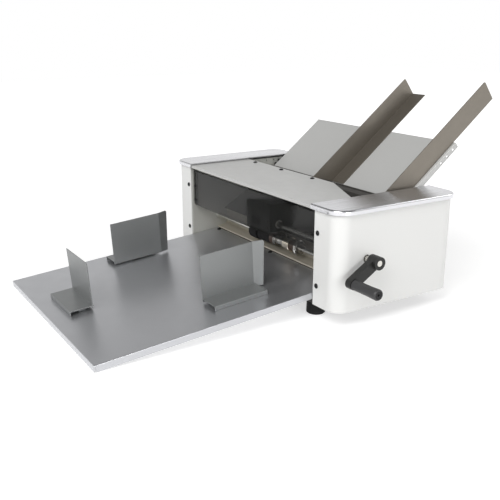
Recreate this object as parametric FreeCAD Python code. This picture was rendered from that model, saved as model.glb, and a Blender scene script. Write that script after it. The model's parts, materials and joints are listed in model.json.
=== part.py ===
"""Table-top rotary perforator: sheets slide down an inclined feed table, pass between a toothed
wheel and a grooved wheel turned by a hand crank, and land on a sloping delivery tray."""

import FreeCAD
import Part
import math
import os

# All sizes are in millimetres. While the pieces are shaped, X = 0 is the mid plane between the
# side frames, Y = 0 is the front face of the housings (the delivery tray lies at negative Y) and
# Z = 0 is the table top. The finished pieces are then shifted to the centre of the base.
Vector = FreeCAD.Vector
X_AXIS = Vector(1, 0, 0)
Y_AXIS = Vector(0, 1, 0)
Z_AXIS = Vector(0, 0, 1)

# Clearances
RUNNING_GAP = 0.05          # radial play of a shaft in its bush
SCREW_GAP = 0.25            # radial play of a screw in a drilled hole
SLIDING_GAP = 0.3           # between a sliding piece and the sheet that it slides on
SOFT_GAP = 0.3              # between a soft face and what it nearly touches
SIDE_PLAY = 0.4             # between a turning piece and the fixed piece beside it

# Side frames, base and cross bars
FRAME_INNER_X = 235.6       # half the clear width between the side frames
FRAME_PLATE = 3.0
FRAME_TOP_Z = 209.0
FRAME_FLANGE = 16.0
BASE_Z = 28.0               # underside of the base pan, and the height of the feet
BASE_SHEET = 2.0
BASE_RIM = 8.0

# Housings, the painted wraps at each end
HOUSING_WIDTH = 68.4        # outside of the clear width, at each end
HOUSING_DEPTH = 284.5
HOUSING_CORNER_R = 28.0
HOUSING_SHEET = 2.0
HOUSING_SCREW_INSET = 9.9
HOUSING_SCREW_Z = (66.5, 166.0)
CRANK_HOLE_GAP = 1.5

# Polished caps on the housings
CAP_TOP_Z = 217.0
CAP_HEIGHT = 9.0
CAP_SHEET = 2.5
CAP_OVERHANG = 5.0
CAP_LAP = 7.6               # how far a cap reaches inwards over the clear width
CAP_EDGE_R = 3.6

# Top cover
COVER_TOP_Z = 213.0
COVER_SHEET = 1.5
COVER_FRONT_Y = -1.0
COVER_REAR_Y = 154.0
COVER_SIDE_GAP = 0.5
COVER_CUT_X = 94.0          # where the bevelled rear corner starts
COVER_CUT_SIDE_Y = 90.0     # where the bevel meets the side
COVER_HEM = 6.0
COVER_SIDE_HEM = 9.0
COVER_SCREW_Y = 142.0
COVER_SCREW_X = (-182.0, -76.0, 38.0)

# Cross bars between the side frames
FRONT_BAR_Y = 16.0
FRONT_BAR_WIDTH = 18.0
FRONT_BAR_LEG = 12.0
BAR_SHEET = 3.0
COVER_BAR_WIDTH = 20.0
COVER_BAR_HEIGHT = 12.0
REAR_PANEL_TOP_Z = 184.0
REAR_PANEL_SHEET = 1.5
REAR_PANEL_FOLD = 9.0

# Feet
FOOT_INSET_X = 22.0         # inside the clear width
FOOT_INSET_Y = 25.0
FOOT_TOP_R = 17.5
FOOT_BOTTOM_R = 18.0
FOOT_EDGE_R = 2.0
FOOT_PLUG_R = 5.0
FOOT_PLUG_HEIGHT = 5.0

# Feed table
TABLE_ANGLE = 38.0
TABLE_LOW_INSET = 55.5      # from the rear of the housings to the table's low edge
TABLE_LOW_Z = 195.3
TABLE_LENGTH = 161.2
TABLE_FOOT = 6.0            # how far the sheet runs on below the point that its place is measured from
TABLE_SHEET = 1.5
TABLE_SIDE_GAP = 10.0       # between the table and each side frame
TABLE_FLANGE = 10.9
TABLE_SLOT_COUNT = 3
TABLE_SLOT_PITCH = 19.5
TABLE_SLOT_WIDTH = 4.5
TABLE_SLOT_LENGTH = 5.5
TABLE_SLOT_FROM_TOP = 11.0
TABLE_SCREW_S = (3.5, 16.0)
TABLE_SCREW_N = -6.0
TABLE_SHOULDER_R = 4.0
TABLE_SCREW_HEAD_R = 5.8
TABLE_SCREW_HEAD = 3.0
FRAME_HOLE_Y = (207.6, 229.6, 251.4)
FRAME_HOLE_Z = 203.8
FRAME_HOLE_R = 1.9

# Feed side guides, the two long angles that lie on the feed table
FEED_GUIDE_SHEET = 1.5
FEED_GUIDE_HEIGHT = 45.0
FEED_GUIDE_FLANGE = 37.0
FEED_GUIDE_LENGTH = 287.0
LEFT_FEED_GUIDE_FOOT = -5.6
RIGHT_FEED_GUIDE_FOOT = 4.8
FEED_GUIDE_NOSE = 34.0      # how far the upright's top corner reaches past its foot
FEED_GUIDE_SPACING = 216.0  # a letter sheet's width
FEED_GUIDE_LEFT_X = 2.7
FEED_GUIDE_EASE = 3.0

# Delivery tray
TRAY_TOP_Z = 49.7           # top surface at Y = 0
TRAY_ANGLE = 5.09
TRAY_FRONT_Y = -422.3
TRAY_REAR_Y = 69.0
TRAY_SIDE_GAP = 1.3         # between the tray and each side frame
TRAY_SHEET = 1.5
TRAY_CORNER_SLIT = 1.2
TRAY_SCREW_Y = 63.0
TRAY_SCREW_INSET = 17.6
TRAY_BAR_FRONT_Y = 55.0
TRAY_BAR_REAR_Y = 76.0
TRAY_BAR_BOTTOM_Z = 40.0

# Delivery guides and end stop on the tray
GUIDE_SHEET = 1.5
GUIDE_BASE_HEIGHT = 9.0
GUIDE_BASE_WIDTH = 46.0
GUIDE_LENGTH = 112.0
GUIDE_PLATE_HEIGHT = 91.5
GUIDE_EASE = 3.0            # cut corner at the plate's far end
GUIDE_END_LEAN = 2.5        # the plate's near end leans along the guide
GUIDE_PLATE_LOW = 3.0       # the plate's lower edge stands clear of the tray
SIDE_FLARE_ANGLE = 17.0
SIDE_FOLD_LOW = 110.0       # the slanted fold's ends, at the plate's lower and upper edges
SIDE_FOLD_HIGH = 114.0
SIDE_REACH_LOW = 19.0       # from the fold to the plate's end
SIDE_REACH_HIGH = 23.0
STOP_FLARE_ANGLE = 10.0
STOP_FOLD_LOW = 103.0
STOP_FOLD_HIGH = 107.0
STOP_REACH_LOW = 9.0
STOP_REACH_HIGH = 12.5
RIGHT_GUIDE_X = 139.0
RIGHT_GUIDE_Y = -177.0
LEFT_GUIDE_X = -163.0
LEFT_GUIDE_Y = -225.0
END_STOP_Y = -343.5
END_STOP_X = -85.0
MAGNET_LENGTH = 30.0
MAGNET_WIDTH = 14.0

# Shafts and gears
CRANK_Y = 66.0
CRANK_Z = 123.0
GEAR_MODULE = 1.5
CRANK_GEAR_TEETH = 30
ANVIL_GEAR_TEETH = 20
GEAR_LINE_ANGLE = -76.75    # from the crank shaft down to the lower shaft, behind the vertical
GEAR_WIDTH = 10.0
GEAR_STANDOFF = 2.4         # between a side frame's outer face and the gears
GEAR_BACKLASH = 0.25
GEAR_HUB_R = 10.0
GEAR_HUB_LENGTH = 6.0
SHAFT_R = 6.0
LOWER_SHAFT_R = 5.0
FEED_SHAFT_R = 5.0
BUSH_WALL = 3.0
BUSH_RIM = 1.8              # how far a bush's flange stands out round its body
BUSH_FLANGE = 2.5
BUSH_NOSE = 1.5
PULLEY_STANDOFF = 23.4      # between a side frame's outer face and the pulleys
PULLEY_WIDTH = 10.0
BELT_WIDTH = 8.0
BELT_THICKNESS = 1.6
BELT_PITCH = 3.0
DRIVE_PULLEY_TEETH = 20
FEED_PULLEY_TEETH = 25
PULLEY_RIM = 2.0
PULLEY_RIM_WIDTH = 1.0

# Wheels on the lower shaft, from left to right
TYRES = ((-78.5, -50.0, 17.0), (-46.0, -2.0, 15.0))     # left end, right end, radius
TYRE_SLEEVE_R = 9.5
TYRE_EASE = 1.5
SPACERS = ((-1.0, 13.5, 14.5), (67.4, 85.9, 12.0))
ANVIL_X = 18.0              # plane of the blade and of the groove that takes it
ANVIL_LEFT_X = 14.0
ANVIL_RIGHT_X = 46.0
ANVIL_R = 15.5
ANVIL_FLANGE_RIGHT_X = 21.5
ANVIL_WAIST_R = 11.5
ANVIL_GROOVE_WIDTH = 2.2
ANVIL_GROOVE_DEPTH = 1.6
PRESS_RING_X = (46.4, 67.0)
PRESS_RING_R = 14.5
SCORE_DISC_X = 89.3
SCORE_DISC_R = 15.8
SCORE_DISC_WIDTH = 6.0
SCORE_DISC_HUB_R = 10.0
SCORE_DISC_HUB_X = 98.0

# Perforating wheel and its head
BLADE_BITE = 0.8            # how deep the blade's teeth reach into the groove
PERF_WHEEL_SHEET = 1.2
PERF_TOOTH_COUNT = 48
PERF_TOOTH_DEPTH = 1.6
PERF_HUB_R = 14.0
PERF_HUB_FLANGE_R = 17.0
PERF_HUB_FLANGE = 1.9
PINCH_TYRE_X = (-42.0, -10.0)
HEAD_LEFT_X = -62.0
HEAD_RIGHT_X = 26.0
HEAD_FRONT_Y = 44.0
HEAD_REAR_Y = 110.0
HEAD_BOTTOM_Z = 107.0
HEAD_REAR_BOTTOM_Z = 124.0
HEAD_CHAMFER_Y = 88.0
HEAD_TOP_Z = 166.0
HEAD_WALL = 4.0
HEAD_SLOT_GAP = 1.0         # round the blade and the tyre where they stand out through the front
HEAD_CORNER_R = 5.0
HEAD_BOSS_R = 15.0
HEAD_BOSS = 2.0
HEAD_LUG_WIDTH = 34.0
HEAD_SCREW_X = (-30.0, -6.0)
HEAD_SCREW_SEAT = 8.0       # flat seats for the screw heads, below the cover bar
KNOB_Y = 101.0
KNOB_Z = 155.0
KNOB_R = 8.5
KNOB_WIDTH = 9.0
KNOB_STEM_R = 3.0
KNOB_FLUTES = 10

# Feed roller and separator
ROLLER_S = -30.5            # place of the roller's contact, along the table's slope
FEED_TYRE_R = 18.0
FEED_TYRE_X = ((-24.0, -5.0), (5.0, 24.0))
SEPARATOR_HALF_WIDTH = 25.0
SEPARATOR_PAD = 4.0
SEPARATOR_BLOCK = 9.0
SEPARATOR_SPAN = (-42.0, -18.0)
SEPARATOR_ROOT = 12.0       # how far the arm's upper end reaches behind the cover bar
SEPARATOR_DROP = 5.0        # the arm's upper end lies this far under the cover
CHUTE_SHEET = 1.5
CHUTE_KNEE_S = -81.0
CHUTE_END_Y = 90.0
CHUTE_END_Z = 102.5
CHUTE_SLOT_SPAN = (-44.0, -17.0)
EXIT_LIP_Y = 72.5
EXIT_LIP_Z = 58.0
EXIT_LIP_R = 2.2
EXIT_BACK_Y = 95.0
EXIT_BACK_Z = 65.0
EXIT_SHEET = 1.5

# Crank
CRANK_ARM_ANGLE = 31.5      # below the horizontal, towards the front
CRANK_RADIUS = 59.0
CRANK_HUB_R = 12.0
CRANK_STANDOFF = 13.0       # between the right housing and the crank's hub
CRANK_HUB_LENGTH = 22.0
CRANK_ARM_SETBACK = 2.0
CRANK_ARM_WIDTH = 13.5
CRANK_ARM_END_R = 10.0
GRIP_LENGTH = 61.0
GRIP_R = 9.3
GRIP_END_R = 10.0
GRIP_BOLT_R = 4.0
GRIP_BOLT_HEAD_R = 6.8
GRIP_BOLT_HEAD = 3.0
GRIP_RECESS = 4.0

# Window
WINDOW_Y = 6.5
WINDOW_SHEET = 3.0
WINDOW_BOTTOM_Z = 120.5
WINDOW_TOP_Z = 199.5
WINDOW_SIDE_GAP = 3.0
WINDOW_CORNER_R = 7.0
WINDOW_AXIS_Y = 10.0
WINDOW_AXIS_Z = 204.0
WINDOW_ROD_R = 2.5
BRACKET_WIDTH = 10.0
BRACKET_SHEET = 2.0
BRACKET_EYE_R = 4.5
BRACKET_SCREW_Z = (133.0, 165.0)

# Screws
HEAD_RATIO = 1.9            # button head radius over shank radius
HEAD_FLATNESS = 0.55        # button head height over its radius
SOCKET_RATIO = 0.62         # socket radius over shank radius
M5_R = 2.5
M4_R = 2.0
M6_R = 3.0


def box(x0, x1, y0, y1, z0, z1):
    return Part.makeBox(x1 - x0, y1 - y0, z1 - z0, Vector(x0, y0, z0))


def cyl_x(y, z, radius, x0, x1):
    return Part.makeCylinder(radius, x1 - x0, Vector(x0, y, z), X_AXIS)


def cyl_y(x, z, radius, y0, y1):
    return Part.makeCylinder(radius, y1 - y0, Vector(x, y0, z), Y_AXIS)


def cyl_z(x, y, radius, z0, z1):
    return Part.makeCylinder(radius, z1 - z0, Vector(x, y, z0), Z_AXIS)


def ring_x(y, z, outer, inner, x0, x1):
    return cyl_x(y, z, outer, x0, x1).cut(cyl_x(y, z, inner, x0 - 1, x1 + 1))


def prism_x(points, x0, x1):
    """A side profile of (y, z) points, extruded across the machine."""
    corners = [Vector(x0, y, z) for y, z in points]
    return Part.Face(Part.makePolygon(corners + corners[:1])).extrude(Vector(x1 - x0, 0, 0))


def prism_z(points, z0, z1):
    """A plan profile of (x, y) points, extruded upwards."""
    corners = [Vector(x, y, z0) for x, y in points]
    return Part.Face(Part.makePolygon(corners + corners[:1])).extrude(Vector(0, 0, z1 - z0))


def turned(profile, origin, axis):
    """A solid of revolution: profile is (length along the axis, radius) points."""
    corners = [Vector(r, 0, a) for a, r in profile]
    face = Part.Face(Part.makePolygon(corners + corners[:1]))
    solid = face.revolve(Vector(0, 0, 0), Z_AXIS, 360)
    turn = FreeCAD.Rotation(Z_AXIS, axis)
    solid.Placement = FreeCAD.Placement(origin, turn)
    return solid


def mirrored(shape):
    """The same piece for the left end of the machine."""
    return shape.mirror(Vector(0, 0, 0), X_AXIS)


def eased(shape, radius, wanted):
    """Rounds the edges for which wanted(edge) is true."""
    edges = [edge for edge in shape.Edges if wanted(edge)]
    return shape.makeFillet(radius, edges)


def parallel(edge, axis):
    if len(edge.Vertexes) != 2:
        return False
    along = edge.Vertexes[1].Point.sub(edge.Vertexes[0].Point)
    return along.Length > 0 and along.cross(axis).Length < 1e-6 * along.Length


def on_slope(shape, angle, y, z):
    """Moves a piece drawn on a level plane onto a plane that rises towards the rear."""
    placed = shape.copy()
    placed.rotate(Vector(0, 0, 0), X_AXIS, angle)
    placed.translate(Vector(0, y, z))
    return placed


def on_table(shape):
    return on_slope(shape, TABLE_ANGLE, TABLE_LOW_Y, TABLE_LOW_Z)


def on_tray(shape):
    return on_slope(shape, TRAY_ANGLE, 0.0, TRAY_TOP_Z)


def slope_point(s, n):
    """World (y, z) of a point s along the feed table's surface and n above it."""
    angle = math.radians(TABLE_ANGLE)
    y = TABLE_LOW_Y + s * math.cos(angle) - n * math.sin(angle)
    z = TABLE_LOW_Z + s * math.sin(angle) + n * math.cos(angle)
    return (y, z)


def button_screw(origin, axis, radius, length):
    """A button-head screw: its head stands out along axis from origin, its shank runs back."""
    head_r = radius * HEAD_RATIO
    head_h = head_r * HEAD_FLATNESS
    socket_r = radius * SOCKET_RATIO
    profile = [
        (-length, 0), (-length, radius), (0, radius), (0, head_r), (head_h * 0.35, head_r),
        (head_h * 0.8, head_r * 0.72), (head_h, head_r * 0.42), (head_h, socket_r),
        (head_h * 0.35, socket_r), (head_h * 0.35, 0),
    ]
    return turned(profile, origin, axis)


def gear(teeth, module, y, z, x0, width, bore, phase):
    """A spur gear with involute-like flanks on an axis along X; phase is in tooth pitches."""
    pitch_r = module * teeth / 2.0
    outer_r = pitch_r + module
    root_r = pitch_r - 1.25 * module
    half_pitch = (math.pi * module / 2.0 - GEAR_BACKLASH) / 2.0 / pitch_r
    lean = math.tan(math.radians(20.0))
    points = []
    for tooth in range(teeth):
        middle = 2.0 * math.pi * (tooth + phase) / teeth
        half_root = half_pitch + lean * (pitch_r - root_r) / pitch_r * 0.8
        half_tip = half_pitch - lean * (outer_r - pitch_r) / pitch_r * 1.15
        for radius, turn in (
            (root_r, -half_root), (pitch_r, -half_pitch), (outer_r, -half_tip),
            (outer_r, half_tip), (pitch_r, half_pitch), (root_r, half_root),
        ):
            points.append((y + radius * math.cos(middle + turn), z + radius * math.sin(middle + turn)))
    blank = prism_x(points, x0, x0 + width)
    return blank.cut(cyl_x(y, z, bore, x0 - 1, x0 + width + 1))


# Places that several pieces share
FRAME_OUTER_X = FRAME_INNER_X + FRAME_PLATE
FRAME_FRONT_Y = HOUSING_SHEET
FRAME_REAR_Y = HOUSING_DEPTH - HOUSING_SHEET
FRAME_BOTTOM_Z = BASE_Z + BASE_SHEET
HOUSING_OUTER_X = FRAME_INNER_X + HOUSING_WIDTH
HOUSING_SCREW_X = FRAME_INNER_X + HOUSING_SCREW_INSET
CAP_INNER_X = FRAME_INNER_X - CAP_LAP
FOOT_X = FRAME_INNER_X - FOOT_INSET_X
FOOT_Y = (FOOT_INSET_Y, HOUSING_DEPTH - FOOT_INSET_Y)
TABLE_HALF_WIDTH = FRAME_INNER_X - TABLE_SIDE_GAP
TABLE_LOW_Y = HOUSING_DEPTH - TABLE_LOW_INSET
TRAY_HALF_WIDTH = FRAME_INNER_X - TRAY_SIDE_GAP
TRAY_SCREW_X = (TRAY_SCREW_INSET - FRAME_INNER_X, 0.0, FRAME_INNER_X - TRAY_SCREW_INSET)
GEAR_X = FRAME_OUTER_X + GEAR_STANDOFF
PULLEY_X = FRAME_OUTER_X + PULLEY_STANDOFF
CRANK_HUB_X = (HOUSING_OUTER_X + CRANK_STANDOFF, HOUSING_OUTER_X + CRANK_STANDOFF + CRANK_HUB_LENGTH)
CRANK_ARM_X = (CRANK_HUB_X[0] + CRANK_ARM_SETBACK, CRANK_HUB_X[0] + CRANK_ARM_SETBACK + CRANK_ARM_WIDTH)
GRIP_X = (CRANK_ARM_X[1] + SIDE_PLAY, CRANK_ARM_X[1] + SIDE_PLAY + GRIP_LENGTH)
SHAFT_DISTANCE = GEAR_MODULE * (CRANK_GEAR_TEETH + ANVIL_GEAR_TEETH) / 2.0
ANVIL_Y = CRANK_Y + SHAFT_DISTANCE * math.cos(math.radians(GEAR_LINE_ANGLE))
ANVIL_Z = CRANK_Z + SHAFT_DISTANCE * math.sin(math.radians(GEAR_LINE_ANGLE))
PERF_WHEEL_R = SHAFT_DISTANCE - ANVIL_R + BLADE_BITE
PINCH_TYRE_R = SHAFT_DISTANCE - TYRES[1][2] - SOFT_GAP
ROLLER_Y, ROLLER_Z = slope_point(ROLLER_S, -FEED_TYRE_R)
GRIP_Y = CRANK_Y - CRANK_RADIUS * math.cos(math.radians(CRANK_ARM_ANGLE))
GRIP_Z = CRANK_Z - CRANK_RADIUS * math.sin(math.radians(CRANK_ARM_ANGLE))
CAP_UNDER_Z = CAP_TOP_Z - CAP_SHEET
COVER_UNDER_Z = COVER_TOP_Z - COVER_SHEET
COVER_HALF_WIDTH = FRAME_INNER_X - COVER_SIDE_GAP
COVER_BAR_FRONT_Y = COVER_SCREW_Y - COVER_BAR_WIDTH / 2.0
COVER_BAR_REAR_Y = COVER_SCREW_Y + COVER_BAR_WIDTH / 2.0
COVER_BAR_BOTTOM_Z = COVER_UNDER_Z - COVER_BAR_HEIGHT
TRAY_BAR_TILT = math.tan(math.radians(TRAY_ANGLE))
DRIVE_PULLEY_R = DRIVE_PULLEY_TEETH * BELT_PITCH / (2.0 * math.pi)
FEED_PULLEY_R = FEED_PULLEY_TEETH * BELT_PITCH / (2.0 * math.pi)


def d_plan(inner_x, outer_x, y0, y1, corner, z0, z1):
    """A plate whose two outer corners are round in plan."""
    plate = box(inner_x, outer_x, y0, y1, z0, z1)
    return eased(plate, corner, lambda edge: parallel(edge, Z_AXIS) and edge.CenterOfMass.x > outer_x - 0.1)


def right_housing():
    wrap = d_plan(FRAME_INNER_X, HOUSING_OUTER_X, 0, HOUSING_DEPTH, HOUSING_CORNER_R, BASE_Z, CAP_UNDER_Z)
    inside = d_plan(
        FRAME_INNER_X - 1, HOUSING_OUTER_X - HOUSING_SHEET, HOUSING_SHEET, HOUSING_DEPTH - HOUSING_SHEET,
        HOUSING_CORNER_R - HOUSING_SHEET, BASE_Z - 1, CAP_UNDER_Z + 1,
    )
    wrap = wrap.cut(inside)
    for z in HOUSING_SCREW_Z:
        wrap = wrap.cut(cyl_y(HOUSING_SCREW_X, z, M5_R + SCREW_GAP, -1, HOUSING_DEPTH + 1))
    return wrap


def right_cap():
    front = -CAP_OVERHANG
    rear = HOUSING_DEPTH + CAP_OVERHANG
    outer = HOUSING_OUTER_X + CAP_OVERHANG
    corner = HOUSING_CORNER_R + CAP_OVERHANG
    cap = d_plan(CAP_INNER_X, outer, front, rear, corner, CAP_TOP_Z - CAP_HEIGHT, CAP_TOP_Z)
    cap = eased(
        cap, CAP_EDGE_R,
        lambda edge: edge.CenterOfMass.z > CAP_TOP_Z - 0.01 and edge.CenterOfMass.x > CAP_INNER_X + 1,
    )
    inside = d_plan(
        CAP_INNER_X - 1, outer - CAP_SHEET, front + CAP_SHEET, rear - CAP_SHEET, corner - CAP_SHEET,
        CAP_TOP_Z - CAP_HEIGHT - 1, CAP_UNDER_Z,
    )
    return cap.cut(inside)


def bush_holes(plate, places, x0, x1):
    for y, z, radius in places:
        plate = plate.cut(cyl_x(y, z, radius + RUNNING_GAP + BUSH_WALL, x0, x1))
    return plate


RIGHT_BUSHES = (
    (CRANK_Y, CRANK_Z, SHAFT_R),
    (ANVIL_Y, ANVIL_Z, LOWER_SHAFT_R),
    (ROLLER_Y, ROLLER_Z, FEED_SHAFT_R),
)
LEFT_BUSHES = RIGHT_BUSHES[1:]


def side_frame(bushes):
    """The right side frame: a flanged plate with bush seats and drilled rows."""
    x0 = FRAME_INNER_X
    x1 = FRAME_OUTER_X
    plate = box(x0, x1, FRAME_FRONT_Y, FRAME_REAR_Y, FRAME_BOTTOM_Z, FRAME_TOP_Z)
    x2 = x1 + FRAME_FLANGE
    front = box(x0, x2, FRAME_FRONT_Y, FRAME_FRONT_Y + FRAME_PLATE, FRAME_BOTTOM_Z, FRAME_TOP_Z)
    rear = box(x0, x2, FRAME_REAR_Y - FRAME_PLATE, FRAME_REAR_Y, FRAME_BOTTOM_Z, FRAME_TOP_Z)
    foot = box(x0, x2, FRAME_FRONT_Y, FRAME_REAR_Y, FRAME_BOTTOM_Z, FRAME_BOTTOM_Z + FRAME_PLATE)
    frame = plate.fuse([front, rear, foot]).removeSplitter()
    frame = eased(
        frame, FRAME_PLATE * 0.9,
        lambda edge: parallel(edge, Z_AXIS) and edge.CenterOfMass.x < x0 + 0.01,
    )
    frame = bush_holes(frame, bushes, x0 - 1, x1 + 1)
    for z in HOUSING_SCREW_Z:
        frame = frame.cut(cyl_y(HOUSING_SCREW_X, z, M5_R, 0, HOUSING_DEPTH))
    for y in FRAME_HOLE_Y:
        frame = frame.cut(cyl_x(y, FRAME_HOLE_Z, FRAME_HOLE_R, x0 - 1, x1 + 1))
    for s in TABLE_SCREW_S:
        y, z = slope_point(s, TABLE_SCREW_N)
        frame = frame.cut(cyl_x(y, z, TABLE_SHOULDER_R + SCREW_GAP, x0 - 1, x1 + 1))
    rod_hole = cyl_x(WINDOW_AXIS_Y, WINDOW_AXIS_Z, WINDOW_ROD_R, x0 - 1, x1 + 1)
    return frame.cut(rod_hole)


def base_pan():
    x = HOUSING_OUTER_X - HOUSING_SHEET - SIDE_PLAY
    y0 = HOUSING_SHEET + SIDE_PLAY
    y1 = HOUSING_DEPTH - HOUSING_SHEET - SIDE_PLAY
    corner = HOUSING_CORNER_R - HOUSING_SHEET - SIDE_PLAY
    pan = box(-x, x, y0, y1, BASE_Z, BASE_Z + BASE_SHEET)
    pan = eased(pan, corner, lambda edge: parallel(edge, Z_AXIS))
    for side in (-1, 1):
        for y in FOOT_Y:
            pan = pan.cut(cyl_z(side * FOOT_X, y, FOOT_PLUG_R, BASE_Z - 1, BASE_Z + BASE_SHEET + 1))
    between = FRAME_INNER_X
    front_rim = box(-between, between, y0, y0 + BASE_SHEET, BASE_Z, BASE_Z + BASE_RIM)
    return pan.fuse(front_rim).removeSplitter()


def foot(x, y):
    """A tapered rubber foot with a plug that is pushed up through the base pan."""
    plug_top = BASE_Z + BASE_SHEET + FOOT_PLUG_HEIGHT
    profile = [
        (0, 0), (0, FOOT_BOTTOM_R - FOOT_EDGE_R), (FOOT_EDGE_R, FOOT_BOTTOM_R), (BASE_Z, FOOT_TOP_R),
        (BASE_Z, FOOT_PLUG_R), (plug_top - 1.5, FOOT_PLUG_R), (plug_top, FOOT_PLUG_R - 1.5), (plug_top, 0),
    ]
    return turned(profile, Vector(x, y, 0), Z_AXIS)


def at_feet(make):
    return [make(side * FOOT_X, y) for side in (-1, 1) for y in FOOT_Y]


def front_bar():
    """An angle under the cover's front, with its leg at the rear."""
    y0 = FRONT_BAR_Y
    y1 = FRONT_BAR_Y + FRONT_BAR_WIDTH
    top = COVER_UNDER_Z
    corners = [
        (y0, top - BAR_SHEET), (y1 - BAR_SHEET, top - BAR_SHEET), (y1 - BAR_SHEET, top - FRONT_BAR_LEG),
        (y1, top - FRONT_BAR_LEG), (y1, top), (y0, top),
    ]
    return prism_x(corners, -FRAME_INNER_X, FRAME_INNER_X)


def cover_bar():
    bar = box(
        -FRAME_INNER_X, FRAME_INNER_X, COVER_BAR_FRONT_Y, COVER_BAR_REAR_Y, COVER_BAR_BOTTOM_Z, COVER_UNDER_Z,
    )
    for x in COVER_SCREW_X:
        bar = bar.cut(cyl_z(x, COVER_SCREW_Y, M5_R, COVER_BAR_BOTTOM_Z - 1, COVER_UNDER_Z + 1))
    for x in HEAD_SCREW_X:
        bar = bar.cut(cyl_z(x, COVER_SCREW_Y, M6_R, COVER_BAR_BOTTOM_Z - 1, COVER_UNDER_Z - 3))
    return bar


def rear_panel():
    """The closing sheet at the back, folded forwards along its top and bottom."""
    y1 = FRAME_REAR_Y
    y0 = y1 - REAR_PANEL_SHEET
    top = REAR_PANEL_TOP_Z
    low = FRAME_BOTTOM_Z
    t = REAR_PANEL_SHEET
    corners = [
        (y1, low), (y1, top), (y1 - REAR_PANEL_FOLD, top), (y1 - REAR_PANEL_FOLD, top - t),
        (y0, top - t), (y0, low + t), (y1 - REAR_PANEL_FOLD, low + t), (y1 - REAR_PANEL_FOLD, low),
    ]
    return prism_x(corners, -FRAME_INNER_X, FRAME_INNER_X)


def top_cover():
    """A thin cover with a front hem, side hems and one bevelled rear corner over the feed mouth."""
    w = COVER_HALF_WIDTH
    outline = [
        (-w, COVER_FRONT_Y), (w, COVER_FRONT_Y), (w, COVER_CUT_SIDE_Y), (COVER_CUT_X, COVER_REAR_Y),
        (-w, COVER_REAR_Y),
    ]
    cover = prism_z(outline, COVER_UNDER_Z, COVER_TOP_Z)
    hem = box(-w, w, COVER_FRONT_Y, COVER_FRONT_Y + COVER_SHEET, COVER_TOP_Z - COVER_HEM, COVER_TOP_Z)
    hem_y0 = FRONT_BAR_Y + FRONT_BAR_WIDTH + 2
    hem_y1 = COVER_CUT_SIDE_Y - 2
    sides = [
        box(x, x + COVER_SHEET, hem_y0, hem_y1, COVER_TOP_Z - COVER_SIDE_HEM, COVER_TOP_Z)
        for x in (-w, w - COVER_SHEET)
    ]
    cover = cover.fuse([hem] + sides).removeSplitter()
    cover = eased(
        cover, COVER_SHEET * 0.9,
        lambda edge: parallel(edge, X_AXIS) and edge.CenterOfMass.z > COVER_TOP_Z - 0.01
        and edge.CenterOfMass.y < COVER_FRONT_Y + 0.01,
    )
    for x in COVER_SCREW_X:
        cover = cover.cut(cyl_z(x, COVER_SCREW_Y, M5_R + SCREW_GAP, COVER_UNDER_Z - 1, COVER_TOP_Z + 1))
    return cover


def feed_table():
    """The inclined sheet with a flange down each side, slotted near its upper end."""
    w = TABLE_HALF_WIDTH
    top = box(-w, w, -TABLE_FOOT, TABLE_LENGTH, -TABLE_SHEET, 0)
    flanges = [
        box(x, x + TABLE_SHEET, -TABLE_FOOT, TABLE_LENGTH, -TABLE_FLANGE, 0)
        for x in (-w, w - TABLE_SHEET)
    ]
    upper = box(-w, w, TABLE_LENGTH - TABLE_SHEET, TABLE_LENGTH, -TABLE_FLANGE * 0.6, 0)
    table = top.fuse(flanges + [upper]).removeSplitter()
    table = eased(
        table, TABLE_SHEET * 0.8,
        lambda edge: parallel(edge, Y_AXIS) and edge.CenterOfMass.z > -0.01
        and abs(edge.CenterOfMass.x) > w - 0.01,
    )
    for s in TABLE_SCREW_S:
        table = table.cut(cyl_x(s, TABLE_SCREW_N, M4_R, -w - 1, w + 1))
    for slot in range(TABLE_SLOT_COUNT):
        s1 = TABLE_LENGTH - TABLE_SLOT_FROM_TOP - slot * TABLE_SLOT_PITCH
        s0 = s1 - TABLE_SLOT_LENGTH
        n0 = TABLE_SCREW_N - TABLE_SLOT_WIDTH / 2.0
        for x in (-w - 1, w - TABLE_SHEET - 1):
            table = table.cut(box(x, x + TABLE_SHEET + 2, s0, s1, n0, n0 + TABLE_SLOT_WIDTH))
    return on_table(table)


def table_screw(side, s):
    """A shoulder screw through a side frame; its thread is in the feed table's flange."""
    y, z = slope_point(s, TABLE_SCREW_N)
    shoulder = FRAME_OUTER_X - TABLE_HALF_WIDTH
    length = shoulder + TABLE_SHEET + 3
    socket_r = TABLE_SHOULDER_R * SOCKET_RATIO
    profile = [
        (-length, 0), (-length, M4_R), (-shoulder, M4_R), (-shoulder, TABLE_SHOULDER_R),
        (0, TABLE_SHOULDER_R), (0, TABLE_SCREW_HEAD_R), (TABLE_SCREW_HEAD, TABLE_SCREW_HEAD_R),
        (TABLE_SCREW_HEAD, socket_r), (1, socket_r), (1, 0),
    ]
    return turned(profile, Vector(side * FRAME_OUTER_X, y, z), Vector(side, 0, 0))


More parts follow.
